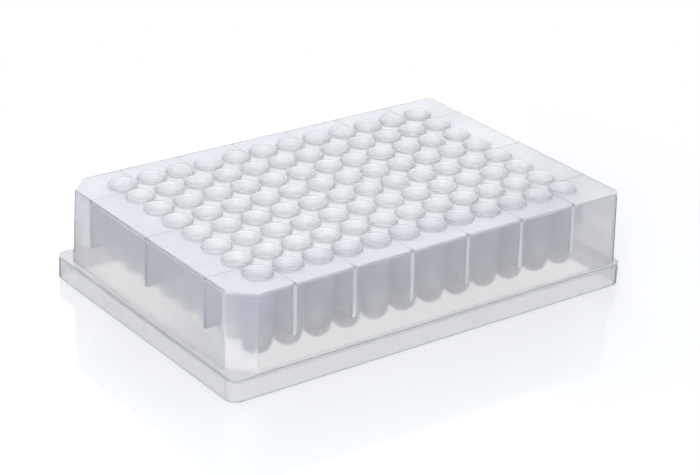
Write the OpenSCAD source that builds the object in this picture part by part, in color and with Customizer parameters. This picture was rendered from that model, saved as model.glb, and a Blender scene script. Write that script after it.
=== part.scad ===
/* [Base] */
// Length of the footprint, the standard size that carriers and robots grip
base_l = 127.76; // [118:0.01:150]
// Width of the footprint
base_w = 85.48; // [78:0.01:110]
// Height of the base flange up to its ledge
base_h = 6.15; // [4:0.05:9]
// Radius of the footprint's four upright corners
base_r = 3.18; // [2:0.01:6]
// Wall thickness of the base skirt
skirt_t = 1.3; // [0.8:0.05:1.8]
// Thickness of the ledge that joins the skirt to the body
shelf_t = 1.3; // [0.8:0.05:2]

/* [Body] */
// Height of the deck's top face above the surface it stands on
deck_z = 27; // [22:0.1:45]
// Thickness of the deck
deck_t = 1.25; // [0.8:0.05:2]
// Thickness of the four upright walls
wall_t = 1.2; // [0.8:0.05:2]
// Width of the open ledge at the two ends
end_ledge = 1.73; // [0.5:0.01:4]
// Width of the open ledge along the two long sides
side_ledge = 0.94; // [0.5:0.01:4]
// How far each end wall leans in from its foot to the deck
end_draft = 0.25; // [0.05:0.05:1.5]
// How far each long wall leans in from its foot to the deck
side_draft = 0.85; // [0.05:0.05:1.5]
// Size of the two cut corners that show which end holds the first column
corner_cut = 6; // [3:0.1:9]
// Radius of the two square corners at the other end
corner_r = 1.8; // [0.8:0.1:3]
// Radius of the small rounding where a cut corner meets a wall
blend_r = 0.9; // [0.6:0.1:1.5]
// Radius of the corners inside the body
inner_r = 0.6; // [0.3:0.1:1]
// Bevel along the deck's outer edge
deck_bevel = 0.35; // [0.1:0.05:0.5]

/* [Wells] */
// Number of wells along the length
columns = 12; // [2:1:12]
// Number of wells across the width
rows = 8; // [2:1:8]
// Distance between neighbouring well centres
pitch = 9; // [8.7:0.05:9.3]
// Inside radius of a well at its mouth
mouth_r = 3.45; // [3:0.05:3.55]
// Inside radius of a well at its rounded bottom
foot_r = 3.3; // [2.8:0.05:3.4]
// Wall thickness of a well
well_wall = 0.5; // [0.4:0.05:0.6]
// Height of the outside of a well's bottom above the surface the plate stands on
bottom_z = 5.55; // [2:0.05:9]
// Thickness of the raised rim round a mouth
rim_wall = 0.55; // [0.45:0.05:0.7]
// Height of the raised rim above the deck
rim_h = 0.65; // [0.4:0.05:1.2]

/* [Ribs] */
// Thickness of a stiffening rib
rib_t = 1; // [0.6:0.05:1.1]
// Height of a rib's lower edge above the surface the plate stands on
rib_low_z = 13.4; // [10:0.1:20]
// Columns from one rib to the next along the long walls
long_rib_step = 2; // [1:1:6]
// Rows from one rib to the next along the end walls
end_rib_step = 3; // [1:1:6]
// How deep a rib's cross tie sinks into the well wall on each side
tie_grip = 0.3; // [0.2:0.05:0.35]

/* [Hidden] */
$fn = 64;

// Half sizes of the body at its foot and at the deck
foot_x = base_l / 2 - end_ledge;
foot_y = base_w / 2 - side_ledge;
deck_x = foot_x - end_draft;
deck_y = foot_y - side_draft;
shelf_z = base_h - shelf_t;
under_deck_z = deck_z - deck_t;
// The rounded bottom's centre and the start of the rim's half-round top
round_z = bottom_z + foot_r + well_wall;
shoulder_z = deck_z + rim_h - rim_wall / 2;
// A rib's top edge and the middle of the deck's thickness are one height
mid_deck_z = deck_z - deck_t / 2;
// Keeps the same wall thickness across a cut corner
inner_cut = corner_cut - wall_t * (2 - sqrt(2));

function column_x(i) = (i - (columns - 1) / 2) * pitch;
function row_y(i) = (i - (rows - 1) / 2) * pitch;
// Half size at height z of a surface that leans from its foot to the deck
function lean(foot, deck, z) = foot + (deck - foot) * (z - base_h) / (deck_z - deck_bevel - base_h);

// Flat outline with four round corners
module rounded_outline(l, w, r) {
    square([l, w - 2 * r], center = true);
    square([l - 2 * r, w], center = true);
    for (x = [-1, 1], y = [-1, 1])
        translate([x * (l / 2 - r), y * (w / 2 - r)])
            circle(r = r);
}

// One upright disc of the body's outline, narrowed by its bevel at the top
module disc(x, y, z, h, r, bevel) {
    translate([x, y, z])
        cylinder(h = h, r1 = r, r2 = r - bevel, $fn = 32);
}

// The six discs that give the body's outline: two round corners and two cut corners
module outline_discs(half_x, half_y, z, h, cut, round_r, cut_r, bevel) {
    shift = cut_r * tan(22.5);
    for (side = [-1, 1]) {
        disc(half_x - round_r, side * (half_y - round_r), z, h, round_r, bevel);
        disc(-half_x + cut + shift, side * (half_y - cut_r), z, h, cut_r, bevel);
        disc(-half_x + cut_r, side * (half_y - cut - shift), z, h, cut_r, bevel);
    }
}

// Outside of the body, from the ledge to the deck, leaning in on all sides
module body_form() {
    hull() {
        outline_discs(foot_x, foot_y, shelf_z, shelf_t, corner_cut, corner_r, blend_r, 0);
        outline_discs(deck_x, deck_y, deck_z - deck_bevel, deck_bevel, corner_cut, corner_r, blend_r, deck_bevel);
    }
}

// Space inside the body, one wall thickness in from the outside
module body_space() {
    hull() {
        outline_discs(foot_x - wall_t, foot_y - wall_t, shelf_z - 1, 1 + shelf_t, inner_cut, inner_r, inner_r, 0);
        outline_discs(lean(foot_x, deck_x, under_deck_z) - wall_t, lean(foot_y, deck_y, under_deck_z) - wall_t,
            under_deck_z - 0.1, 0.1, inner_cut, inner_r, inner_r, 0);
    }
}

// Base flange: a skirt round the footprint under a narrow ledge
module base_form() {
    linear_extrude(height = base_h)
        rounded_outline(base_l, base_w, base_r);
}

module base_space() {
    translate([0, 0, -1])
        linear_extrude(height = 1 + shelf_z)
            rounded_outline(base_l - 2 * skirt_t, base_w - 2 * skirt_t, base_r - skirt_t);
}

// Base, walls and deck as one shell, open beneath, with a seat in the deck for each well
module shell() {
    difference() {
        union() {
            base_form();
            body_form();
        }
        base_space();
        body_space();
        for (i = [0 : columns - 1], j = [0 : rows - 1])
            translate([column_x(i), row_y(j), under_deck_z - 1])
                cylinder(h = deck_t + 2, r = mouth_r + well_wall / 2);
    }
}

// Quarter disc that rounds a well's bottom in section
module round_section(r) {
    intersection() {
        translate([0, round_z])
            circle(r = r);
        translate([0, round_z - r])
            square([r, r]);
    }
}

// Half section of a well: a round-bottomed tube with a thicker rim, half round on top
module well_section() {
    difference() {
        union() {
            round_section(foot_r + well_wall);
            polygon([
                [0, round_z], [foot_r + well_wall, round_z],
                [mouth_r + well_wall, mid_deck_z], [mouth_r + rim_wall, mid_deck_z],
                [mouth_r + rim_wall, shoulder_z], [0, shoulder_z]
            ]);
        }
        round_section(foot_r);
        polygon([
            [0, round_z], [foot_r, round_z], [mouth_r, shoulder_z],
            [mouth_r, shoulder_z + 1], [0, shoulder_z + 1]
        ]);
    }
    intersection() {
        translate([mouth_r + rim_wall / 2, shoulder_z])
            circle(r = rim_wall / 2);
        translate([mouth_r, shoulder_z])
            square([rim_wall, rim_wall]);
    }
}

module well() {
    rotate_extrude()
        well_section();
}

// Rib from a wall to the line of outer wells, drawn along +X, with a cross tie between two tubes
module rib(foot_half, deck_half, line) {
    low = lean(foot_half, deck_half, rib_low_z) - wall_t / 2;
    high = lean(foot_half, deck_half, mid_deck_z) - wall_t / 2;
    rotate([90, 0, 0])
        translate([0, 0, -rib_t / 2])
            linear_extrude(height = rib_t)
                polygon([[line, rib_low_z], [low, rib_low_z], [high, mid_deck_z], [line, mid_deck_z]]);
    tie = pitch - 2 * (mouth_r + well_wall) + 2 * tie_grip;
    translate([line - rib_t / 2, -tie / 2, rib_low_z])
        cube([rib_t, tie, mid_deck_z - rib_low_z]);
}

module ribs() {
    for (i = [0 : long_rib_step : columns - 2], side = [-1, 1])
        translate([column_x(i) + pitch / 2, 0, 0])
            rotate([0, 0, 90 * side])
                rib(foot_y, deck_y, -row_y(0));
    for (j = [0 : end_rib_step : rows - 2], side = [0, 1])
        translate([0, row_y(j) + pitch / 2, 0])
            rotate([0, 0, 180 * side])
                rib(foot_x, deck_x, -column_x(0));
}

module plate() {
    color([0.86, 0.88, 0.91])
        union() {
            shell();
            for (i = [0 : columns - 1], j = [0 : rows - 1])
                translate([column_x(i), row_y(j), 0])
                    well();
            ribs();
        }
}

plate();
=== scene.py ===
import math

import bpy
import numpy as np
from bpy.props import FloatProperty, FloatVectorProperty, IntProperty, PointerProperty
from mathutils import Euler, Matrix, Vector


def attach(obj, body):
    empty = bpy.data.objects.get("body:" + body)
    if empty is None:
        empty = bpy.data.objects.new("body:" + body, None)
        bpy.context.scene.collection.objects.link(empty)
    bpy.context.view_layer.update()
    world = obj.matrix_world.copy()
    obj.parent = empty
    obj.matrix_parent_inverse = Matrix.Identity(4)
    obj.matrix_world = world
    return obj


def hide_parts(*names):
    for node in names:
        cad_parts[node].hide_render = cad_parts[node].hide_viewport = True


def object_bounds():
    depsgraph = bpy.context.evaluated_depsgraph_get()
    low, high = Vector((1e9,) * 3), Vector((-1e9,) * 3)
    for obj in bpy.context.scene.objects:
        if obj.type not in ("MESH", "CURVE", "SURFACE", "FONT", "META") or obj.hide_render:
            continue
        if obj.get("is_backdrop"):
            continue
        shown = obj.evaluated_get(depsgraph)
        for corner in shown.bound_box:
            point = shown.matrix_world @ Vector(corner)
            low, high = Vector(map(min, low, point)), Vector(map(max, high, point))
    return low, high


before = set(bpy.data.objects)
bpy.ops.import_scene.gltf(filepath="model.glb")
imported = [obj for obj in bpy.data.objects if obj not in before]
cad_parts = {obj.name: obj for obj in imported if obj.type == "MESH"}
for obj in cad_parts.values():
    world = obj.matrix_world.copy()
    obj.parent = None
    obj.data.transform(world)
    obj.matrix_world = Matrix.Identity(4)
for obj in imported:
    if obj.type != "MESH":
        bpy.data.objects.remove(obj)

bl_info = {
    "name": "Well Plate",
    "version": (1, 0, 0),
    "blender": (4, 5, 0),
    "location": "View3D > Sidebar > Well Plate",
    "description": "A deep well plate of natural plastic on a pale studio floor",
    "category": "Add Mesh",
}

# The CAD model's box, kept before anything is added
CAD_LOW, CAD_HIGH = (list(corner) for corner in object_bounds())
NODE = "plate"
BODY = "root"
MM = 1e-3


def length(name, description, default):
    """A length property in metres."""
    return FloatProperty(
        name=name, description=description, default=default, min=0.0, precision=5, unit="LENGTH"
    )


def share(name, description, default):
    """A plain number from 0 to 1."""
    return FloatProperty(
        name=name, description=description, default=default, min=0.0, max=1.0, subtype="FACTOR"
    )


def colour(name, description, default):
    """A colour in linear light."""
    return FloatVectorProperty(
        name=name, description=description, default=default, size=3, min=0.0, max=1.0, subtype="COLOR"
    )


class WellPlateSizes(bpy.types.PropertyGroup):
    """Sizes of the moulded plate, in metres"""

    base_length: length("Base length", "Length of the footprint", CAD_HIGH[0] - CAD_LOW[0])
    base_width: length("Base width", "Width of the footprint", CAD_HIGH[1] - CAD_LOW[1])
    base_height: length("Base height", "Height of the flange up to its ledge", 0.00615)
    base_corner: length("Base corner", "Radius of the footprint's corners", 0.00318)
    skirt: length("Skirt", "Wall thickness of the base skirt", 0.0013)
    shelf: length("Shelf", "Thickness of the ledge", 0.0013)
    deck_height: length("Deck height", "Height of the deck's top face", 0.027)
    deck: length("Deck", "Thickness of the deck", 0.00125)
    wall: length("Wall", "Thickness of the upright walls", 0.0012)
    end_ledge: length("End ledge", "Open ledge at the two ends", 0.00173)
    side_ledge: length("Side ledge", "Open ledge along the two long sides", 0.00094)
    end_draft: length("End draft", "How far an end wall leans in", 0.00025)
    side_draft: length("Side draft", "How far a long wall leans in", 0.00085)
    corner_cut: length("Corner cut", "Size of the two cut corners", 0.006)
    corner_round: length("Corner round", "Radius of the two square corners", 0.0018)
    cut_round: length("Cut round", "Rounding where a cut corner meets a wall", 0.0009)
    inner_round: length("Inner round", "Radius of the corners inside the body", 0.0006)
    edge_round: length("Edge round", "Rounding of the deck's outer edge", 0.00035)
    flange_round: length("Flange round", "Rounding of the flange's edges", 0.00016)
    columns: IntProperty(name="Columns", description="Wells along the length", default=12, min=2)
    rows: IntProperty(name="Rows", description="Wells across the width", default=8, min=2)
    pitch: length("Pitch", "Distance between well centres", 0.009)
    mouth: length("Mouth", "Inside radius of a well at its mouth", 0.00345)
    foot: length("Foot", "Inside radius of a well at its rounded bottom", 0.0033)
    well_wall: length("Well wall", "Wall thickness of a well", 0.0005)
    well_low: length("Well low", "Height of a well's outside bottom", 0.00555)
    rim_wall: length("Rim wall", "Thickness of a rim", 0.00055)
    rim_height: length("Rim height", "Height of a rim above the deck", CAD_HIGH[2] - 0.027)
    rib: length("Rib", "Thickness of a stiffening rib", 0.001)
    rib_low: length("Rib low", "Height of a rib's lower edge", 0.0134)
    long_rib_step: IntProperty(
        name="Long rib step", description="Wells from one rib to the next along a long wall", default=2, min=1
    )
    end_rib_step: IntProperty(
        name="End rib step", description="Wells from one rib to the next along an end wall", default=3, min=1
    )
    tie_grip: length("Tie grip", "How deep a cross tie sinks into a well wall", 0.0003)


class WellPlateLooks(bpy.types.PropertyGroup):
    """Colours and finish of the plastic and the studio. Many of the plastic's tones are painted light and
    shade
    """

    plastic: colour("Plastic", "Natural translucent plastic of the walls and wells", (0.985, 0.99, 0.998))
    # Painted shade: the wells' upper parts are darker and bluer than their lower parts
    upper_shade_tone: colour("Upper tone", "Plastic of the wells' upper parts", (0.93, 0.955, 1.0))
    deck_tone: colour("Deck tone", "Plastic of the deck, where it is milkier", (0.84, 0.865, 0.91))
    # Painted light: the deck among the wells is lighter, most of all between four wells
    field_light_tone: colour("Field tone", "Plastic of the deck between four wells", (0.99, 0.99, 1.0))
    ring_light_tone: colour("Ring tone", "Plastic of the deck close to the wells", (0.87, 0.885, 0.925))
    # Painted shade: a dark line over each rib on the deck
    rib_line_shade_tone: colour("Sink tone", "Fine line over each rib on the deck", (0.672, 0.692, 0.728))
    # Painted light: the deck is lighter at its right front corner
    lit_end_tone: colour("Clear end tone", "Deck at its right front corner", (0.955, 0.96, 0.975))
    # Painted light: the cut corners' faces are milkier, so they look lighter
    cut_face_light_tone: colour("Cut tone", "Plastic of the cut corners' faces", (0.955, 0.965, 1.0))
    # Painted shade: a cut corner is darker before its well
    cut_well_shade_tone: colour("Cut well tone", "Plastic of a cut corner before its well", (0.73, 0.77, 0.86))
    # Painted shade along the cut corners' upright edges
    arris_shade_tone: colour("Arris tone", "Plastic of the cut corners' upright edges", (0.80, 0.83, 0.90))
    # Painted shade: a dark line where an upright corner is seen edgeways
    edgeways_shade_tone: colour("Turn tone", "Plastic of the upright corners, seen edgeways", (0.15, 0.16, 0.22))
    # Painted shade: the walls beside the upper wells are darker and bluer
    upper_side_shade_tone: colour("Upper side tone", "Long walls beside the upper wells", (0.83, 0.86, 0.925))
    upper_end_shade_tone: colour("Upper end tone", "End walls beside the upper wells", (0.90, 0.92, 0.98))
    # Painted shade: darker low on the end walls, towards the front
    foot_end_shade_tone: colour("Foot end tone", "Plastic low on the end walls", (0.81, 0.825, 0.86))
    edge_tone: colour("Edge tone", "Thin shade lines along the outer edges", (0.58, 0.595, 0.66))
    # Painted shade: a well's inside is a shade darker at the deck
    bore_top_shade_tone: colour("Bore top tone", "Plastic of a well's inside at the deck", (0.965, 0.972, 0.99))
    # Painted light: a well's inside is lighter towards the deck between four wells
    bore_light_tone: colour("Bore light tone", "A well's inside towards the open deck", (0.99, 0.99, 1.0))
    bore_tone: colour("Bore tone", "Plastic of the wells' insides", (0.98, 0.985, 1.0))
    rim_tone: colour("Rim tone", "Plastic of the rims", (0.94, 0.955, 0.98))
    # Painted shade: the front wells' insides and rims are darker
    bore_front_shade_tone: colour("Bore front tone", "Plastic of the front wells' insides", (0.89, 0.90, 0.93))
    rim_front_shade_tone: colour("Rim front tone", "Plastic of the front wells' rims", (0.82, 0.835, 0.87))
    rib_tone: colour("Rib tone", "Plastic where a rib backs a long wall", (0.93, 0.95, 0.99))
    # Painted shade: the ribs at the ends are darker and bluer than the long ribs
    end_rib_shade_tone: colour("End rib tone", "Plastic of the ribs at the two ends", (0.78, 0.815, 0.92))
    ledge_tone: colour("Ledge tone", "Plastic of the flange's ledge", (0.93, 0.935, 0.955))
    # Painted shade: dark marks where a rib's line meets the deck's edge
    dot_shade_tone: colour("Dot tone", "Small marks where a rib's line meets the deck's edge", (0.42, 0.45, 0.56))
    base_tone: colour("Base tone", "Plastic of the base flange", (0.87, 0.88, 0.90))
    wall_milk: share("Wall milk", "Milky share of the body's walls", 0.05)
    upper_milk: share("Upper milk", "Milky share of the walls beside the upper wells", 0.16)
    well_milk: share("Well milk", "Milky share of the wells", 0.20)
    bore_milk: share("Bore milk", "Milky share of the wells' insides", 0.90)
    base_milk: share("Base milk", "Milky share of the base flange", 0.25)
    cut_milk: share("Cut milk", "Milky share of the cut corners' faces", 0.24)
    arris_milk: share("Arris milk", "Milky share of the upright edges", 0.35)
    deck_milk: share("Deck milk", "Milky share of the deck", 0.50)
    ledge_milk: share("Ledge milk", "Milky share of the flange's ledge", 0.32)
    rim_milk: share("Rim milk", "Milky share of the rims", 0.32)
    rib_milk: share("Rib milk", "Milky share where a rib backs a wall", 0.37)
    end_rib_milk: share("End rib milk", "Milky share of the ribs at the two ends", 0.42)
    depth_tone: colour("Depth tone", "Colour of light scattered inside the plastic", (0.965, 0.982, 1.0))
    depth_milk: FloatProperty(
        name="Depth milk", description="Scattering inside the plastic, per metre of depth",
        default=300.0, min=0.0,
    )
    wall_haze: share("Wall haze", "Roughness of the walls' frosted skin", 0.14)
    upper_haze: share("Upper haze", "Roughness of the walls beside the upper wells", 0.225)
    well_haze: share("Well haze", "Roughness of the wells, rims and deck", 0.15)
    grain: length("Grain", "Depth of the fine grain on the moulded skin", 0.00001)
    floor: colour("Floor", "Pale glossy floor", (0.98, 0.985, 1.0))
    floor_haze: share("Floor haze", "Roughness of the floor", 0.10)
    floor_white: share("Floor white", "How far the floor itself goes to plain white", 0.20)
    floor_behind: share("Floor behind", "How far the floor behind clear plastic goes to plain white", 0.82)
    world: colour("World", "Soft light from all round", (0.86, 0.91, 1.0))
    world_light: share("World light", "Strength of the soft light from all round", 0.62)


# ---------------------------------------------------------------- surfaces


def grid_quads(rows, columns, start, flip):
    """Quads of a grid of points numbered row by row from start, turned over if flip is set."""
    corner = np.arange(rows - 1)[:, None] * columns + np.arange(columns - 1)[None, :] + start
    quads = np.stack([corner, corner + 1, corner + 1 + columns, corner + columns], axis=-1)
    quads = quads.reshape(-1, 4)
    return quads[:, ::-1] if flip else quads


# Points that fall on the same one of this many steps per metre become one
WELD_STEPS = 1e7


def weld(points, quads):
    """Points that lie within a tenth of a micrometre become one, and the quads follow."""
    keys = np.round(points * WELD_STEPS).astype(np.int64)
    _, first, back = np.unique(keys, axis=0, return_index=True, return_inverse=True)
    return points[first], back.reshape(-1)[quads]


def make_mesh(name, points, quads):
    """A mesh from points and quads. A quad with two equal corners in a row becomes a triangle."""
    mesh = bpy.data.meshes.new(name)
    same = quads == np.roll(quads, -1, axis=1)
    full = quads[~same.any(axis=1)]
    thin = quads[same.sum(axis=1) == 1]
    keep = ~(thin == np.roll(thin, -1, axis=1))
    thin = thin[keep].reshape(-1, 3)
    loops = np.concatenate([full.ravel(), thin.ravel()]).astype(np.int32)
    totals = np.concatenate([np.full(len(full), 4), np.full(len(thin), 3)]).astype(np.int32)
    starts = np.concatenate([[0], np.cumsum(totals)[:-1]]).astype(np.int32)
    mesh.vertices.add(len(points))
    mesh.vertices.foreach_set("co", points.astype(np.float32).ravel())
    mesh.loops.add(len(loops))
    mesh.loops.foreach_set("vertex_index", loops)
    mesh.polygons.add(len(totals))
    mesh.polygons.foreach_set("loop_start", starts)
    mesh.update(calc_edges=True)
    mesh.validate()
    return mesh


def add_object(name, mesh):
    """An object at the origin, so that its place is in its mesh."""
    obj = bpy.data.objects.new(name, mesh)
    bpy.context.scene.collection.objects.link(obj)
    return obj


def arc(centre_x, centre_y, radius, start, stop, count):
    """Points on an arc: the centre plus the radius times the cosine and sine of each angle."""
    angle = np.radians(np.linspace(start, stop, count))
    return np.stack([centre_x + radius * np.cos(angle), centre_y + radius * np.sin(angle)], axis=-1)


# Points on each upright corner, and parts of each side of a well's square cell
CORNER_POINTS = 10
SIDE_PARTS = 8
# Arcs that round the deck's edge, the edges of the flange and skirt, and the ledge's inner edge
EDGE_STEPS, FLANGE_STEPS, INNER_STEPS = 4, 3, 2
# No corner is rounder or no straight part shorter than this
LEAST_ROUND, LEAST_STRAIGHT = 0.1 * MM, 0.01 * MM


def well_places(count, pitch):
    """Places of the wells' axes along a side, one pitch apart, with the middle of all at nought."""
    return (np.arange(count) - (count - 1) / 2) * pitch


def side_marks(count, pitch):
    """Places along a side: every cell adds half a pitch times the tangent of -45 to 45 degrees."""
    step = pitch / 2 * np.tan(np.radians(np.linspace(-45.0, 45.0, SIDE_PARTS + 1)))
    marks = (well_places(count, pitch)[:, None] + step[None, :-1]).ravel()
    return np.append(marks, count * pitch / 2)


def outline(s, half_x, half_y, z, square_round, cut=0.0, cut_round=0.0):
    """A closed loop round the plate at height z, the same number of points at every size.

    The straight sides carry the side marks. Each corner carries an arc, or, at the end with the
    cut corners, two arcs of 45 degrees whose centres lie one radius inside both neighbours."""
    xs, ys = side_marks(s.columns, s.pitch), side_marks(s.rows, s.pitch)
    n = CORNER_POINTS
    shift = cut_round * math.tan(math.radians(22.5))

    # Marks on the end with the cut corners draw together where its straight part is too short
    fit = 1.0
    if cut:
        fit = min(1.0, (half_y - cut - shift - LEAST_STRAIGHT) / ys[-1])

    def side(x, y):
        """A straight side along the marks."""
        return np.stack(np.broadcast_arrays(x, y), axis=-1)

    def square_corner(start):
        """A quarter round from the start angle on, one radius inside both sides."""
        away = math.radians(start + 45.0)
        cx = math.copysign(half_x - square_round, math.cos(away))
        cy = math.copysign(half_y - square_round, math.sin(away))
        return arc(cx, cy, square_round, start, start + 90.0, n)

    def cut_corner(upper):
        """Two eighths of a round, at the upper or the lower cut corner."""
        end_x, side_x = -half_x + cut + shift, -half_x + cut_round
        end_y, side_y = half_y - cut_round, half_y - cut - shift
        if upper:
            first = arc(end_x, end_y, cut_round, 90.0, 135.0, n // 2)
            last = arc(side_x, side_y, cut_round, 135.0, 180.0, n // 2)
        else:
            first = arc(side_x, -side_y, cut_round, 180.0, 225.0, n // 2)
            last = arc(end_x, -end_y, cut_round, 225.0, 270.0, n // 2)
        return np.concatenate([first, last])

    loop = [
        side(xs, -half_y),
        square_corner(-90.0),
        side(half_x, ys),
        square_corner(0.0),
        side(xs[::-1], half_y),
        cut_corner(True) if cut else square_corner(90.0),
        side(-half_x, ys[::-1] * fit),
        cut_corner(False) if cut else square_corner(180.0),
    ]
    loop = np.concatenate(loop)
    loop = np.concatenate([loop, loop[:1]])
    return np.concatenate([loop, np.full((len(loop), 1), z)], axis=1)


def rounding(radius, steps):
    """Pairs (inset, drop) along a quarter round: radius times 1 - sin and 1 - cos of the angle."""
    angle = np.radians(np.linspace(0.0, 90.0, steps + 1))
    return [(radius * (1 - math.sin(a)), radius * (1 - math.cos(a))) for a in angle]


def shell_loops(s):
    """The loops of the shell, from the well grid over the deck's edge, down the outside, round the
    foot of the skirt, up the inside and back to the well grid under the deck.

    The body's half sizes go evenly from foot to deck with the height, less the inset. Each edge
    between two faces is a quarter round of loops."""
    foot_x, foot_y = s.base_length / 2 - s.end_ledge, s.base_width / 2 - s.side_ledge
    deck_x, deck_y = foot_x - s.end_draft, foot_y - s.side_draft
    grid_x, grid_y = s.columns * s.pitch / 2, s.rows * s.pitch / 2
    top, under = s.deck_height, s.deck_height - s.deck
    shelf_z = s.base_height - s.shelf
    share_cut = 2 - math.sqrt(2)

    def body(inset, z, inside=False):
        """The body's outline at height z, an inset within its outer faces."""
        lean = (z - s.base_height) / (top - s.edge_round - s.base_height)
        lean = min(max(lean, 0.0), 1.0)
        hx = foot_x + (deck_x - foot_x) * lean - inset
        hy = foot_y + (deck_y - foot_y) * lean - inset
        cut = s.corner_cut - inset * share_cut
        if inside:
            return outline(s, hx, hy, z, s.inner_round, cut, s.inner_round)
        return outline(s, hx, hy, z, s.corner_round - inset, cut, s.cut_round - inset)

    def base(inset, z):
        """The footprint's outline at height z, an inset within its edge."""
        corner = max(s.base_corner - inset, LEAST_ROUND)
        return outline(s, s.base_length / 2 - inset, s.base_width / 2 - inset, z, corner)

    edge = rounding(s.edge_round, EDGE_STEPS)
    small, inner = rounding(s.flange_round, FLANGE_STEPS), rounding(s.flange_round, INNER_STEPS)
    loops = [outline(s, grid_x, grid_y, top, 0.0)]
    loops += [body(a, top - b) for a, b in edge]
    loops += [body(-b, s.base_height + a) for a, b in small]
    loops += [base(a, s.base_height - b) for a, b in small]
    loops += [base(a, b) for a, b in reversed(small)]
    loops += [base(s.skirt - a, b) for a, b in small]
    loops += [base(s.skirt + b, shelf_z - a) for a, b in small]
    loops += [body(s.wall - b, shelf_z + a, True) for a, b in reversed(inner)]
    loops += [body(s.wall + b, under - a, True) for a, b in small]
    loops += [outline(s, grid_x, grid_y, under, 0.0)]
    return np.stack(loops)


# Angles in degrees along a rim's half-round top and down a well's round bottom
RIM_ANGLES = (0.0, 35.0, 65.0, 90.0, 115.0, 145.0, 180.0)
BOTTOM_ANGLES = (0.0, 20.0, 40.0, 60.0, 78.0, 90.0)
# Roundings where a rim meets the deck and where a tube meets its underside
RIM_FILLET, SEAT_FILLET, FILLET_STEPS = 0.2 * MM, 0.3 * MM, 2


def round_bottom(radius, z):
    """Down a half sphere with its centre at z: the radius times the cosine, and z less its sine."""
    return [(radius * math.cos(a), z - radius * math.sin(a)) for a in np.radians(BOTTOM_ANGLES)]


def well_profiles(s):
    """Radius and height along the open side of a well, from the deck to the bottom's pole, and
    along its outside, from under the deck to the pole.

    Rounded parts are arcs: the rim's top is a half round, and the bottom is a half sphere."""
    round_z, under = s.well_low + s.foot + s.well_wall, s.deck_height - s.deck
    rim_r, rim_mid, rim_half = s.mouth + s.rim_wall, s.mouth + s.rim_wall / 2, s.rim_wall / 2
    shoulder = s.deck_height + s.rim_height - rim_half
    tube_top, tube_foot = s.mouth + s.well_wall, s.foot + s.well_wall
    inside = [(rim_r + a, s.deck_height + b) for a, b in rounding(RIM_FILLET, FILLET_STEPS)]
    inside += [(rim_mid + rim_half * math.cos(a), shoulder + rim_half * math.sin(a))
               for a in np.radians(RIM_ANGLES)]
    inside += [((s.mouth + s.foot) / 2, (shoulder + round_z) / 2)]
    inside += round_bottom(s.foot, round_z)
    outside = [(tube_top + a, under - b) for a, b in rounding(SEAT_FILLET, FILLET_STEPS)]
    outside += [((tube_top + tube_foot) / 2, (under + round_z) / 2)]
    outside += round_bottom(tube_foot, round_z)
    return np.array(inside), np.array(outside)


def well_grid(s, profile, z):
    """One cell of the plate: a square at height z, then a circle for each point of the profile.

    The square's points are half a pitch over the larger of |cos| and |sin| of each angle."""
    angle = np.radians(np.linspace(-45.0, 315.0, 4 * SIDE_PARTS + 1))
    turn = np.stack([np.cos(angle), np.sin(angle)], axis=-1)
    square = s.pitch / 2 * turn / np.abs(turn).max(axis=1, keepdims=True)
    square = np.concatenate([square, np.full((len(angle), 1), z)], axis=1)[None]
    radius, height = profile[:, 0], profile[:, 1]
    rings = radius[:, None, None] * turn[None]
    heights = np.broadcast_to(height[:, None, None], (len(profile), len(angle), 1))
    return np.concatenate([square, np.concatenate([rings, heights], axis=-1)])


def plate_shell(s):
    """The whole moulding but its ribs: the shell's loops and one cell for each well, welded.

    A cell's points are its own shape plus the place of its well's axis."""
    loops = shell_loops(s)
    points = [loops.reshape(-1, 3)]
    quads = [grid_quads(loops.shape[0], loops.shape[1], 0, True)]
    start = len(points[0])
    across, along = well_places(s.columns, s.pitch), well_places(s.rows, s.pitch)
    centres = np.stack(np.meshgrid(across, along, [0.0], indexing="ij"), axis=-1).reshape(-1, 1, 1, 3)
    inside, outside = well_profiles(s)
    for profile, z, flip in ((inside, s.deck_height, False), (outside, s.deck_height - s.deck, True)):
        cell = well_grid(s, profile, z)
        cells = centres + cell[None]
        one = grid_quads(cell.shape[0], cell.shape[1], 0, flip)
        size = cell.shape[0] * cell.shape[1]
        shift = start + size * np.arange(len(cells))
        points.append(cells.reshape(-1, 3))
        quads.append((shift[:, None, None] + one[None]).reshape(-1, 4))
        start += size * len(cells)
    return weld(np.concatenate(points), np.concatenate(quads))


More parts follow.
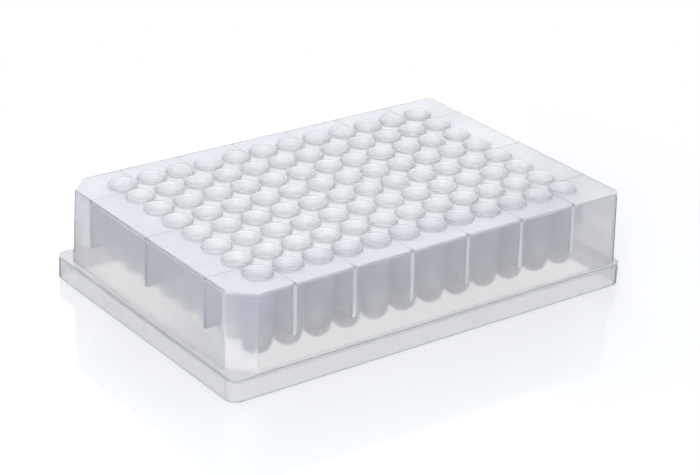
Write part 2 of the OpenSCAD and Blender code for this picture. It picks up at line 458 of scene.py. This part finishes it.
def rib_solids(s):
    """The ribs as upright solids: a T in plan, whose foot lies in the wall and whose bar ties two
    wells, at its lower and its upper height, turned and set between every few wells."""
    foot_x, foot_y = s.base_length / 2 - s.end_ledge, s.base_width / 2 - s.side_ledge
    span = s.deck_height - s.edge_round - s.base_height
    low, high = s.rib_low, s.deck_height - s.deck / 2
    half, tie = s.rib / 2, s.pitch / 2 - s.mouth - s.well_wall + s.tie_grip

    def tee(foot, draft, line):
        """Both levels of one rib, drawn along +X. Its foot follows the wall's lean."""
        levels = []
        for z in (low, high):
            end = foot - draft * (z - s.base_height) / span - s.wall / 2
            plan = [
                (line - half, -tie), (line + half, -tie), (line + half, -half), (end, -half),
                (end, half), (line + half, half), (line + half, tie), (line - half, tie),
            ]
            levels.append([(x, y, z) for x, y in plan])
        return np.array(levels)

    def turned(shape, degrees, dx, dy):
        """The shape times a turn about the upright axis, plus a shift."""
        c, q = math.cos(math.radians(degrees)), math.sin(math.radians(degrees))
        turn = np.array([[c, q, 0.0], [-q, c, 0.0], [0.0, 0.0, 1.0]])
        return shape @ turn + np.array([dx, dy, 0.0])

    long_tee = tee(foot_y, s.side_draft, (s.rows - 1) / 2 * s.pitch)
    end_tee = tee(foot_x, s.end_draft, (s.columns - 1) / 2 * s.pitch)
    shapes = []
    for i in range(0, s.columns - 1, s.long_rib_step):
        x = (i - (s.columns - 1) / 2 + 0.5) * s.pitch
        shapes += [turned(long_tee, degrees, x, 0.0) for degrees in (-90.0, 90.0)]
    for j in range(0, s.rows - 1, s.end_rib_step):
        y = (j - (s.rows - 1) / 2 + 0.5) * s.pitch
        shapes += [turned(end_tee, degrees, 0.0, y) for degrees in (0.0, 180.0)]

    points, faces = np.concatenate([shape.reshape(-1, 3) for shape in shapes]), []
    count = long_tee.shape[1]
    for start in range(0, len(points), 2 * count):
        lower, upper = range(start, start + count), range(start + count, start + 2 * count)
        faces += [list(reversed(lower)), list(upper)]
        for i in range(count):
            j = (i + 1) % count
            faces.append([lower[i], lower[j], upper[j], upper[i]])
    return points, faces


# ---------------------------------------------------------------- materials


# Sockets of a Mix node: the first value, the second value and the result, for numbers and colours
MIX_SOCKETS = {"FLOAT": (2, 3, 0), "RGBA": (6, 7, 2)}


class Tree:
    """An emptied node tree with its output, and short ways to make the nodes that masks need."""

    def __init__(self, owner, output):
        owner.use_nodes = True
        self.nodes, self.links = owner.node_tree.nodes, owner.node_tree.links
        self.nodes.clear()
        self.out = self.nodes.new(output)

    def put(self, socket, value):
        """A socket takes another node's output, or a plain number or colour."""
        if isinstance(value, bpy.types.NodeSocket):
            self.links.new(value, socket)
        else:
            socket.default_value = value

    def add(self, kind, **sockets):
        """A new node. Each socket takes its value by its name, in which _ stands for a space."""
        node = self.nodes.new(kind)
        for name, value in sockets.items():
            self.put(node.inputs[name.replace("_", " ")], value)
        return node

    def place(self):
        """The shaded point in the object's own coordinates."""
        return self.add("ShaderNodeTexCoord").outputs["Object"]

    def math(self, operation, *values):
        """A Math node's output. Each value is another node's output or a plain number."""
        node = self.add("ShaderNodeMath")
        node.operation = operation
        for socket, value in zip(node.inputs, values):
            self.put(socket, value)
        return node.outputs[0]

    def chain(self, operation, *values):
        """The result of one Math operation over several values, from the first to the last."""
        total = values[0]
        for value in values[1:]:
            total = self.math(operation, total, value)
        return total

    def both(self, *masks):
        """The product of several masks."""
        return self.chain("MULTIPLY", *masks)

    def most(self, *masks):
        """The largest of several masks."""
        return self.chain("MAXIMUM", *masks)

    def rest(self, mask):
        """What a mask leaves over: one less the mask."""
        return self.math("SUBTRACT", 1.0, mask)

    def ramp(self, value, low, high, start=0.0, end=1.0, kind="SMOOTHSTEP"):
        """A step of the value from start at low to end at high, smooth unless the kind is LINEAR."""
        # From Max stays the larger, and the results change places instead
        if low > high:
            low, high, start, end = high, low, end, start
        node = self.add(
            "ShaderNodeMapRange", Value=value, From_Min=low, From_Max=high, To_Min=start, To_Max=end
        )
        node.interpolation_type = kind
        return node.outputs["Result"]

    def band(self, value, low, high, soft):
        """One between low and high, with smooth shoulders twice as wide as soft."""
        return self.both(
            self.ramp(value, low - soft, low + soft), self.ramp(value, high + soft, high - soft)
        )

    def blend(self, kind, layers, base):
        """A number or colour that starts at base and goes to each layer's own by that layer's mask:
        what is there times the rest of the mask, plus the layer's own times the mask."""
        first, second, result = MIX_SOCKETS[kind]
        value = base
        for mask, part in layers:
            node = self.add("ShaderNodeMix")
            node.data_type = kind
            for socket, item in ((0, mask), (first, value), (second, part)):
                self.put(node.inputs[socket], item)
            value = node.outputs[result]
        return value

    def show(self, part, first, second):
        """The surface goes from the first shader to the second by the part."""
        node = self.add("ShaderNodeMixShader")
        for socket, value in zip(node.inputs, (part, first, second)):
            self.put(socket, value)
        self.put(self.out.inputs["Surface"], node.outputs["Shader"])


def new_material(name):
    """An empty material and its node tree."""
    mat = bpy.data.materials.new(name)
    return mat, Tree(mat, "ShaderNodeOutputMaterial")


class Place:
    """The shaded point on the plate: its coordinates, and its distances from what zones follow."""

    def __init__(self, tree, s):
        self.x, self.y, self.z = tree.add("ShaderNodeSeparateXYZ", Vector=tree.place()).outputs
        self.away_x, self.away_y = tree.math("ABSOLUTE", self.x), tree.math("ABSOLUTE", self.y)
        # The walls' outer faces at the deck, the edge of the wells' grid, and the outer wells' axes
        self.edge_x = s.base_length / 2 - s.end_ledge - s.end_draft
        self.edge_y = s.base_width / 2 - s.side_ledge - s.side_draft
        self.grid_x, self.grid_y = s.columns * s.pitch / 2, s.rows * s.pitch / 2
        self.last_x, self.last_y = self.grid_x - s.pitch / 2, self.grid_y - s.pitch / 2
        # The leaning walls stand out at this height beyond their place at the deck: plumb takes it out
        rise = tree.ramp(self.z, s.base_height, s.deck_height - s.deck, 1.0, 0.0, "LINEAR")
        out_x, out_y = tree.math("MULTIPLY", rise, s.end_draft), tree.math("MULTIPLY", rise, s.side_draft)
        self.plumb_x = tree.math("SUBTRACT", self.away_x, out_x)
        self.plumb_y = tree.math("SUBTRACT", self.away_y, out_y)
        # Both cut corners lie beyond a slanting line, where the two distances add up
        self.slant = tree.math("SUBTRACT", self.plumb_y, tree.math("ADD", self.x, out_x))
        self.cut_line = self.edge_x + self.edge_y - s.corner_cut
        # Distances to the nearest well's axis, from a zigzag along each side
        self.gaps = []
        for value, count in ((self.x, s.columns), (self.y, s.rows)):
            moved = tree.math("SUBTRACT", value, s.pitch * ((count - 1) / 2 % 1.0))
            self.gaps.append(tree.math("PINGPONG", moved, s.pitch / 2))
        squares = [tree.math("MULTIPLY", gap, gap) for gap in self.gaps]
        self.radius = tree.math("SQRT", tree.math("ADD", *squares))


def height_zones(tree, s, at):
    """Zones that follow the height alone."""
    low, ledge = s.rib_low, s.base_height
    return {
        # Painted shade: plastic above the ribs' lower edge takes a darker, bluer tone
        "upper": tree.ramp(at.z, low - 1.0 * MM, low + 6.0 * MM),
        "base": tree.ramp(at.z, ledge + 0.1 * MM, ledge - 0.1 * MM),
        "ledge": tree.band(at.z, ledge - 0.06 * MM, ledge + 0.15 * MM, 0.03 * MM),
    }


def wall_zones(tree, s, at):
    """The upright walls, which are milkier beside the upper wells and carry painted shade there, and darken
    with painted shade at the foot of an end.
    """
    inner_x, inner_y, inner_cut = at.edge_x - s.wall, at.edge_y - s.wall, at.cut_line - 1.5 * s.wall
    end_wall = tree.ramp(at.plumb_x, inner_x - 0.4 * MM, inner_x - 0.2 * MM)
    side_wall = tree.ramp(at.plumb_y, inner_y - 0.4 * MM, inner_y - 0.2 * MM)
    wall = tree.most(end_wall, side_wall, tree.ramp(at.slant, inner_cut - 0.3 * MM, inner_cut))
    # Painted shade on the walls beside the upper wells
    upper = tree.both(wall, tree.ramp(at.z, s.rib_low, s.rib_low + 7.0 * MM))
    # Past its last rib towards +Y, an end wall is as milky as an upright edge
    last_rib = (s.rows / 2 - 1) * s.pitch
    inside = tree.ramp(at.y, last_rib + 1.0 * MM, last_rib)
    # Painted shade low on the end walls
    foot = tree.ramp(at.z, s.rib_low + 4.0 * MM, s.rib_low - 2.0 * MM)
    return {
        "wall": wall,
        "upper_side": tree.both(upper, tree.ramp(at.x, at.grid_x, at.grid_x - 12.0 * MM), side_wall),
        "upper_end": tree.both(upper, end_wall, inside),
        "upper_far": tree.both(upper, end_wall, tree.rest(inside)),
        "foot_end": tree.both(end_wall, tree.ramp(at.y, 0.0, -32.0 * MM), foot),
    }


def corner_zones(tree, s, at):
    """The faces and the upright edges of the corners."""
    body = tree.ramp(at.z, s.base_height + 0.2 * MM, s.base_height + 0.6 * MM)
    # Painted light: the cut corners' faces are milkier and paler than the walls
    cut_face = tree.both(tree.ramp(at.slant, at.cut_line - 0.25 * MM, at.cut_line - 0.1 * MM), body)
    # Painted shade: the corner well stands behind the inner half of each cut corner, which is darkened there
    before_well = tree.both(
        tree.ramp(at.x, -at.edge_x + 1.5 * MM, -at.edge_x + 4.5 * MM), tree.ramp(at.z, 9.0 * MM, 13.0 * MM)
    )
    # Painted shade lines on the upright edges of the cut corners: milky at the end wall and faint at the long
    # wall
    arris = tree.both(
        body, tree.ramp(at.slant, at.cut_line - 0.6 * MM, at.cut_line - 0.3 * MM),
        tree.most(
            tree.ramp(at.plumb_x, at.edge_x - 0.4 * MM, at.edge_x - 0.25 * MM),
            tree.ramp(at.plumb_y, at.edge_y - 0.4 * MM, at.edge_y - 0.25 * MM, 0.0, 0.08),
        ),
    )
    # Every upright corner is a thick round: a painted dark line stands for its shade where the eye meets it
    # edgeways
    body_turn = tree.both(
        body, tree.ramp(at.plumb_x, at.edge_x - 2.0 * MM, at.edge_x - 1.7 * MM),
        tree.ramp(at.plumb_y, at.edge_y - 2.0 * MM, at.edge_y - 1.7 * MM),
    )
    flange_x, flange_y = s.base_length / 2 - s.base_corner, s.base_width / 2 - s.base_corner
    flange_turn = tree.both(
        tree.ramp(at.z, s.base_height - 0.2 * MM, s.base_height - 0.4 * MM),
        tree.ramp(at.away_x, flange_x - 0.2 * MM, flange_x),
        tree.ramp(at.away_y, flange_y - 0.2 * MM, flange_y),
    )
    facing = tree.add("ShaderNodeLayerWeight", Blend=0.5).outputs["Facing"]
    return {
        "cut_face": cut_face,
        "cut_well_shade": tree.both(cut_face, before_well),
        "arris": arris,
        "edgeways": tree.both(tree.most(arris, body_turn, flange_turn), tree.ramp(facing, 0.45, 0.55)),
    }


def deck_zones(tree, s, at):
    """The deck inside its rounded outer edge, with painted light at its right front corner and between wells.
    """
    under = s.deck_height - s.deck
    outer = tree.most(
        tree.ramp(at.away_x, at.edge_x - 0.15 * MM, at.edge_x - 0.05 * MM),
        tree.ramp(at.away_y, at.edge_y - 0.15 * MM, at.edge_y - 0.05 * MM),
        tree.ramp(at.slant, at.cut_line - 0.25 * MM, at.cut_line - 0.1 * MM),
    )
    rounded = tree.ramp(at.z, s.deck_height - s.edge_round, s.deck_height - s.edge_round / 2)
    deck = tree.both(
        tree.ramp(at.z, under - 0.1 * MM, under + 0.1 * MM), tree.most(rounded, tree.rest(outer))
    )
    # Painted light: the deck is lighter among the wells, most of all between four wells, and stays darker
    # close to the tubes
    among = tree.both(
        tree.ramp(at.away_x, at.last_x + 1.5 * MM, at.last_x),
        tree.ramp(at.away_y, at.last_y + 1.5 * MM, at.last_y),
    )
    ring = tree.both(deck, among)
    return {
        "deck": deck,
        "among": among,
        # Painted light: the deck is lighter at its right front corner
        "lit_end": tree.both(
            deck, tree.ramp(at.x, 28.0 * MM, 56.0 * MM), tree.ramp(at.y, 30.0 * MM, -4.0 * MM)
        ),
        "ring": ring,
        "field": tree.both(ring, tree.ramp(at.radius, 4.3 * MM, 5.0 * MM)),
    }


def well_zones(tree, s, at, deck, among):
    """The wells' insides and rims."""
    # A well is milky at its top: lower down, light comes in through its sides
    top = s.deck_height
    bore = tree.both(
        tree.ramp(at.z, top - 8.0 * MM, top - 4.0 * MM, 0.3, 1.0),
        tree.ramp(at.radius, s.mouth + 0.15 * MM, s.mouth + 0.05 * MM),
        tree.ramp(at.away_x, at.grid_x + 0.1 * MM, at.grid_x - 0.1 * MM),
        tree.ramp(at.away_y, at.grid_y + 0.1 * MM, at.grid_y - 0.1 * MM),
    )
    # Painted shade: a well's inside is a shade darker at the deck
    bore_top = tree.both(bore, deck)
    rim = tree.both(
        tree.ramp(at.z, top + 0.05 * MM, top + 0.2 * MM),
        tree.ramp(at.radius, s.mouth + 0.05 * MM, s.mouth + 0.15 * MM),
    )
    # Painted light: a well's side is lighter towards the deck between four wells
    slanting = tree.math("MINIMUM", *at.gaps)
    # Painted shade: the front row of wells is darker, as it stands before the dark of the wall's inside
    front = tree.ramp(at.y, 1.6 * s.pitch - at.grid_y, 0.4 * s.pitch - at.grid_y)
    return {
        "bore": bore,
        "bore_top": bore_top,
        "bore_light": tree.both(bore_top, among, tree.ramp(slanting, 1.0 * MM, 2.0 * MM)),
        "bore_front": tree.both(bore, front),
        "rim": rim,
        "rim_front": tree.both(rim, front),
    }


def rib_distance(tree, s, value, count, step):
    """Distance to the nearest rib along one side, from a zigzag over the ribs' spacing."""
    first = (1.0 - count / 2) * s.pitch
    return tree.math("PINGPONG", tree.math("SUBTRACT", value, first), step * s.pitch / 2)


def rib_zones(tree, s, at, deck):
    """The ribs, the painted shade line that runs over each on the deck, and the painted dark mark where it
    starts.
    """
    steps = ((at.x, s.columns, s.long_rib_step), (at.y, s.rows, s.end_rib_step))
    long_gap, end_gap = (rib_distance(tree, s, value, count, step) for value, count, step in steps)
    half, inner_x = s.rib / 2, at.edge_x - s.wall
    above = tree.ramp(at.z, s.rib_low - 0.3 * MM, s.rib_low)
    past_y = tree.ramp(at.away_y, at.last_y, at.last_y + 0.1 * MM)
    past_x = tree.ramp(at.away_x, at.last_x, at.last_x + 0.1 * MM)
    # Painted shade line over each rib on the deck
    line = tree.most(
        tree.both(tree.ramp(long_gap, 0.32 * MM, 0.16 * MM), past_y),
        tree.both(tree.ramp(end_gap, 0.32 * MM, 0.16 * MM), past_x),
    )
    # Painted shade marks where a rib's line meets the deck's edge
    dot = tree.most(
        tree.both(
            tree.ramp(long_gap, 0.55 * MM, 0.35 * MM),
            tree.ramp(at.away_y, at.edge_y - 1.1 * MM, at.edge_y - 0.8 * MM),
        ),
        tree.both(
            tree.ramp(end_gap, 0.55 * MM, 0.35 * MM),
            tree.ramp(at.away_x, at.edge_x - 0.9 * MM, at.edge_x - 0.6 * MM),
        ),
    )
    return {
        "long_rib": tree.both(tree.ramp(long_gap, half + 0.3 * MM, half - 0.2 * MM), past_y, above),
        # The end ribs stop at the wall's inner face, so that they are seen through it, in painted shade
        # darker and bluer than the long ribs
        "end_rib": tree.both(
            tree.ramp(end_gap, half + 0.2 * MM, half + 0.1 * MM), past_x, above,
            tree.ramp(at.plumb_x, inner_x + 0.2 * MM, inner_x - 0.1 * MM),
            tree.ramp(at.plumb_x, inner_x - 11.0 * MM, inner_x - 1.5 * MM),
        ),
        "rib_line_shade": tree.both(line, deck),
        "dot": tree.both(dot, tree.ramp(at.z, s.deck_height - 0.8 * MM, s.deck_height - 0.5 * MM)),
    }


def edge_zones(tree, s, at):
    """Shade lines on the deck's far, left and right edges and along the flange."""
    sides = tree.most(
        tree.ramp(at.y, at.edge_y - 0.8 * MM, at.edge_y - 0.5 * MM),
        tree.ramp(at.x, -at.edge_x + 0.6 * MM, -at.edge_x + 0.4 * MM),
        tree.ramp(at.x, at.edge_x - 0.6 * MM, at.edge_x - 0.4 * MM),
    )
    top_line = tree.both(sides, tree.ramp(at.z, s.deck_height - 0.3 * MM, s.deck_height - 0.1 * MM))
    half_x, half_y = s.base_length / 2, s.base_width / 2
    beyond = tree.most(
        tree.ramp(at.away_x, half_x - 0.3 * MM, half_x - 0.1 * MM),
        tree.ramp(at.away_y, half_y - 0.3 * MM, half_y - 0.1 * MM),
    )
    flange_line = tree.both(
        beyond,
        tree.most(
            tree.ramp(at.z, 0.45 * MM, 0.3 * MM),
            tree.band(at.z, s.base_height - 0.3 * MM, s.base_height + 0.1 * MM, 0.05 * MM),
        ),
    )
    return {"edge": tree.most(top_line, flange_line)}


def plate_zones(tree, s):
    """Masks from 0 to 1 for the zones of the moulding, from its own coordinates in metres. Only the
    zone of thick corners also takes the angle to the eye."""
    at = Place(tree, s)
    zones = {**height_zones(tree, s, at), **wall_zones(tree, s, at), **corner_zones(tree, s, at)}
    zones.update(deck_zones(tree, s, at))
    zones.update(well_zones(tree, s, at, zones["deck"], zones["among"]))
    zones.update(rib_zones(tree, s, at, zones["deck"]))
    zones.update(edge_zones(tree, s, at))
    return zones


def plastic_layers(looks):
    """Each zone's milky share, roughness and tone, from the walls up. A later one lies on top. Many of the
    tones are painted light and shade.
    """
    wall, upper, well = looks.wall_haze, looks.upper_haze, looks.well_haze
    return (
        ("upper", looks.well_milk, well, looks.upper_shade_tone),
        ("wall", looks.wall_milk, wall, looks.plastic),
        ("foot_end", looks.wall_milk, wall, looks.foot_end_shade_tone),
        ("upper_side", looks.upper_milk, upper, looks.upper_side_shade_tone),
        ("upper_end", looks.upper_milk, upper, looks.upper_end_shade_tone),
        ("upper_far", looks.arris_milk, upper, looks.rib_tone),
        ("base", looks.base_milk, wall, looks.base_tone),
        ("long_rib", looks.rib_milk, wall, looks.rib_tone),
        ("end_rib", looks.end_rib_milk, wall, looks.end_rib_shade_tone),
        ("cut_face", looks.cut_milk, upper, looks.cut_face_light_tone),
        ("cut_well_shade", looks.cut_milk, upper, looks.cut_well_shade_tone),
        ("arris", looks.arris_milk, wall, looks.arris_shade_tone),
        ("ledge", looks.ledge_milk, well, looks.ledge_tone),
        ("edgeways", looks.arris_milk, wall, looks.edgeways_shade_tone),
        ("deck", looks.deck_milk, well, looks.deck_tone),
        ("lit_end", looks.deck_milk, well, looks.lit_end_tone),
        ("ring", looks.deck_milk, well, looks.ring_light_tone),
        ("field", looks.deck_milk, well, looks.field_light_tone),
        ("bore", looks.bore_milk, well, looks.bore_tone),
        ("bore_top", looks.bore_milk, well, looks.bore_top_shade_tone),
        ("bore_light", looks.bore_milk, well, looks.bore_light_tone),
        ("bore_front", looks.bore_milk, well, looks.bore_front_shade_tone),
        ("rib_line_shade", looks.deck_milk, well, looks.rib_line_shade_tone),
        ("rim", looks.rim_milk, well, looks.rim_tone),
        ("rim_front", looks.rim_milk, well, looks.rim_front_shade_tone),
        ("edge", looks.base_milk, well, looks.edge_tone),
        ("dot", looks.deck_milk, well, looks.dot_shade_tone),
    )


PLASTIC_IOR = 1.49
# Grain and cloudiness: waves per metre, detail, and how much they add to the haze and take away
GRAIN_SCALE, GRAIN_DETAIL, GRAIN_HAZE, LEAST_HAZE = 1600.0, 3.0, 0.08, 0.02
CLOUD_SCALE, CLOUD_DETAIL, CLOUD_SHARE = 90.0, 2.0, 0.10
BUMP_STRENGTH, FORWARD_SCATTER = 0.5, 0.3


def plastic_material(looks, s):
    """Natural plastic: clear with a fine haze in the walls and wells, and milkier where it is thick,
    in the deck, the rims and the base, and where a rib backs a wall. It scatters light in its depth."""
    mat, tree = new_material("clear_polypropylene")
    zones, layers = plate_zones(tree, s), plastic_layers(looks)
    shares = [(zones[key], 1.0 - milk) for key, milk, _, _ in layers]
    hazes = [(zones[key], rough) for key, _, rough, _ in layers]
    tones = [(zones[key], (*part, 1.0)) for key, _, _, part in layers]
    clear = tree.blend("FLOAT", shares, 1.0 - looks.well_milk)
    haze = tree.blend("FLOAT", hazes, looks.well_haze)
    tone = tree.blend("RGBA", tones, (*looks.plastic, 1.0))

    # Fine grain of the mould, and a slow cloudiness from the melt, both about their middle
    grain = tree.add("ShaderNodeTexNoise", Vector=tree.place(), Scale=GRAIN_SCALE, Detail=GRAIN_DETAIL)
    cloud = tree.add("ShaderNodeTexNoise", Vector=tree.place(), Scale=CLOUD_SCALE, Detail=CLOUD_DETAIL)
    speck = tree.math("MULTIPLY_ADD", grain.outputs["Fac"], GRAIN_HAZE, -GRAIN_HAZE / 2)
    haze = tree.math("MAXIMUM", tree.math("ADD", haze, speck), LEAST_HAZE)
    drift = tree.math("MULTIPLY_ADD", cloud.outputs["Fac"], CLOUD_SHARE, -CLOUD_SHARE / 2)
    clear = tree.math("MINIMUM", tree.math("ADD", clear, drift), 1.0)
    bump = tree.add(
        "ShaderNodeBump", Strength=BUMP_STRENGTH, Distance=looks.grain, Height=grain.outputs["Fac"]
    )
    skin = tree.add(
        "ShaderNodeBsdfPrincipled", Base_Color=tone, Roughness=haze, IOR=PLASTIC_IOR,
        Transmission_Weight=clear, Normal=bump.outputs["Normal"],
    )
    depth = tree.add(
        "ShaderNodeVolumeScatter", Color=(*looks.depth_tone, 1.0), Density=looks.depth_milk,
        Anisotropy=FORWARD_SCATTER,
    )
    tree.put(tree.out.inputs["Surface"], skin.outputs["BSDF"])
    tree.put(tree.out.inputs["Volume"], depth.outputs["Volume"])
    return mat


# ---------------------------------------------------------------- operators


# Faces that meet at more than this many degrees make a sharp edge
SHARP_ANGLE = 40.0
# A plate with fewer faces than this has lost a part
LEAST_FACES = 1000


def joined_mesh(context, plate, ribs):
    """The plate's mesh with the ribs' solids joined to it by an exact union."""
    union = plate.modifiers.new("Ribs", "BOOLEAN")
    union.operation, union.solver, union.object = "UNION", "EXACT", ribs
    context.view_layer.update()
    made = bpy.data.meshes.new_from_object(plate.evaluated_get(context.evaluated_depsgraph_get()))
    plate.modifiers.clear()
    return made


class WELLPLATE_OT_plate(bpy.types.Operator):
    """Make the moulded plate with its wells and ribs"""

    bl_idname = "well_plate.plate"
    bl_label = "Moulded Plate"

    def execute(self, context):
        s = context.scene.well_plate_sizes
        plate = add_object("moulded_plate", make_mesh("moulded_plate", *plate_shell(s)))
        rib_points, rib_faces = rib_solids(s)
        rib_mesh = bpy.data.meshes.new("ribs")
        rib_mesh.from_pydata(rib_points.tolist(), [], rib_faces)
        ribs = add_object("ribs", rib_mesh)
        made = joined_mesh(context, plate, ribs)
        old, plate.data = plate.data, made
        bpy.data.meshes.remove(old)
        bpy.data.objects.remove(ribs)
        bpy.data.meshes.remove(rib_mesh)
        made.name = "moulded_plate"
        made.shade_smooth()
        made.set_sharp_from_angle(angle=math.radians(SHARP_ANGLE))
        weighted = plate.modifiers.new("Flat faces", "WEIGHTED_NORMAL")
        weighted.keep_sharp = True
        made.materials.clear()
        made.materials.append(plastic_material(context.scene.well_plate_looks, s))
        if len(made.polygons) < LEAST_FACES:
            raise RuntimeError("the plate came out empty")
        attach(plate, BODY)
        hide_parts(NODE)
        return {"FINISHED"}


# ---------------------------------------------------------------- stage


WHITE = (1.0, 1.0, 1.0, 1.0)
FLOOR_HALF, FLOOR_IOR = 3.0, 1.8
# Distances from the plate's middle between which the floor goes from its shadow's place to white
SHADOW_END, WHITE_START = 90.0 * MM, 160.0 * MM
# Each lamp's name, place, width and height in metres, and power in watts
LAMPS = (
    ("top_lamp", (0.05, 0.15, 0.75), (0.8, 0.8), 1.0),
    ("front_lamp", (-0.45, -0.6, 0.5), (0.6, 0.6), 4.8),
    ("back_lamp", (0.35, 0.85, 0.45), (0.8, 0.6), 1.7),
)
LAMP_COLOUR = (1.0, 0.985, 0.96)
# The camera's place in metres, its turn in degrees, and its lens and sensor in millimetres
CAMERA_PLACE, CAMERA_TURN = (-0.31727, -0.41299, 0.25058), (65.394, -2.399, -36.669)
CAMERA_LENS, CAMERA_SENSOR = 109.65, 36.0
CAMERA_NEAR, CAMERA_FAR = 0.01, 20.0


def floor_mesh(size, material):
    """A square grid in the plane of the plate's foot."""
    marks = np.linspace(-size, size, 3)
    x, y = np.meshgrid(marks, marks, indexing="xy")
    points = np.stack([x, y, np.zeros_like(x)], axis=-1)
    quads = grid_quads(len(marks), len(marks), 0, False)
    mesh = make_mesh("studio_floor", points.reshape(-1, 3), quads)
    mesh.materials.append(material)
    return mesh


def floor_material(looks):
    """Pale floor with a soft gloss that keeps the shadow, part of the way to plain white."""
    mat, tree = new_material("studio_floor")
    skin = tree.add(
        "ShaderNodeBsdfPrincipled", Base_Color=(*looks.floor, 1.0), Roughness=looks.floor_haze,
        IOR=FLOOR_IOR,
    )
    white = tree.add("ShaderNodeEmission", Color=WHITE, Strength=1.0)
    # Seen directly, the floor turns plain white away from the plate, past its shadow
    away = tree.add("ShaderNodeVectorMath", Vector=tree.place())
    away.operation = "LENGTH"
    plain = tree.ramp(away.outputs["Value"], SHADOW_END, WHITE_START, looks.floor_white, 1.0)
    rays = tree.add("ShaderNodeLightPath").outputs
    part = tree.most(
        tree.both(rays["Is Camera Ray"], plain),
        tree.both(rays["Is Glossy Ray"], looks.floor_white),
        tree.both(rays["Is Transmission Ray"], looks.floor_behind),
    )
    tree.show(part, skin.outputs["BSDF"], white.outputs["Emission"])
    return mat


def studio_world(looks):
    """Soft light from all round, which is plain white to rays that come from the camera, a glossy
    surface or clear plastic."""
    world = bpy.data.worlds.new("studio_world")
    tree = Tree(world, "ShaderNodeOutputWorld")
    soft = tree.add("ShaderNodeBackground", Color=(*looks.world, 1.0), Strength=looks.world_light)
    white = tree.add("ShaderNodeBackground", Color=WHITE, Strength=1.0)
    rays = tree.add("ShaderNodeLightPath").outputs
    seen = tree.most(rays["Is Camera Ray"], rays["Is Glossy Ray"], rays["Is Transmission Ray"])
    tree.show(seen, soft.outputs["Background"], white.outputs["Background"])
    return world


def studio_lamp(name, place, size, power):
    """A rectangular lamp that faces the plate's middle: its tilt and turn come from its place."""
    data = bpy.data.lights.new(name, "AREA")
    data.shape, data.size, data.size_y, data.energy = "RECTANGLE", *size, power
    data.color = LAMP_COLOUR
    lamp = bpy.data.objects.new(name, data)
    lamp.location = place
    toward = -np.array(place)
    flat = math.hypot(toward[0], toward[1])
    lamp.rotation_euler = (math.atan2(flat, -toward[2]), 0.0, math.atan2(-toward[0], toward[1]))
    return lamp


def studio_camera():
    """A long lens that looks down on the plate over its near left corner."""
    data = bpy.data.cameras.new("studio_camera")
    data.lens, data.sensor_width = CAMERA_LENS, CAMERA_SENSOR
    data.clip_start, data.clip_end = CAMERA_NEAR, CAMERA_FAR
    camera = bpy.data.objects.new("studio_camera", data)
    camera.location = CAMERA_PLACE
    camera.rotation_euler = Euler([math.radians(a) for a in CAMERA_TURN], "XYZ")
    return camera


class WELLPLATE_OT_stage(bpy.types.Operator):
    """Make the floor, the lamps, the world and the camera"""

    bl_idname = "well_plate.stage"
    bl_label = "Studio Stage"

    def execute(self, context):
        scene = context.scene
        looks = scene.well_plate_looks
        floor = add_object("studio_floor", floor_mesh(FLOOR_HALF, floor_material(looks)))
        floor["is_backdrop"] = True
        scene.world = studio_world(looks)
        for lamp in LAMPS:
            scene.collection.objects.link(studio_lamp(*lamp))
        camera = studio_camera()
        scene.collection.objects.link(camera)
        context.scene.camera = camera
        scene.view_settings.view_transform = "Standard"
        # Light crosses many clear walls on its way through the wells
        cycles = scene.cycles
        cycles.max_bounces, cycles.transmission_bounces = 40, 40
        cycles.glossy_bounces, cycles.diffuse_bounces, cycles.volume_bounces = 12, 8, 40
        return {"FINISHED"}


class WELLPLATE_PT_sidebar(bpy.types.Panel):
    """The plate's operators, sizes and colours"""

    bl_idname = "WELLPLATE_PT_sidebar"
    bl_label = "Well Plate"
    bl_space_type = "VIEW_3D"
    bl_region_type = "UI"
    bl_category = "Well Plate"

    def draw(self, context):
        layout = self.layout
        layout.operator("well_plate.plate")
        layout.operator("well_plate.stage")
        for group in (context.scene.well_plate_sizes, context.scene.well_plate_looks):
            column = layout.column()
            for key in type(group).__annotations__:
                column.prop(group, key)


CLASSES = (
    WellPlateSizes,
    WellPlateLooks,
    WELLPLATE_OT_plate,
    WELLPLATE_OT_stage,
    WELLPLATE_PT_sidebar,
)


def register():
    for item in CLASSES:
        bpy.utils.register_class(item)
    bpy.types.Scene.well_plate_sizes = PointerProperty(type=WellPlateSizes)
    bpy.types.Scene.well_plate_looks = PointerProperty(type=WellPlateLooks)


def unregister():
    del bpy.types.Scene.well_plate_looks
    del bpy.types.Scene.well_plate_sizes
    for item in reversed(CLASSES):
        bpy.utils.unregister_class(item)


def main():
    register()
    bpy.ops.well_plate.stage()
    bpy.ops.well_plate.plate()


if __name__ == "__main__":
    main()
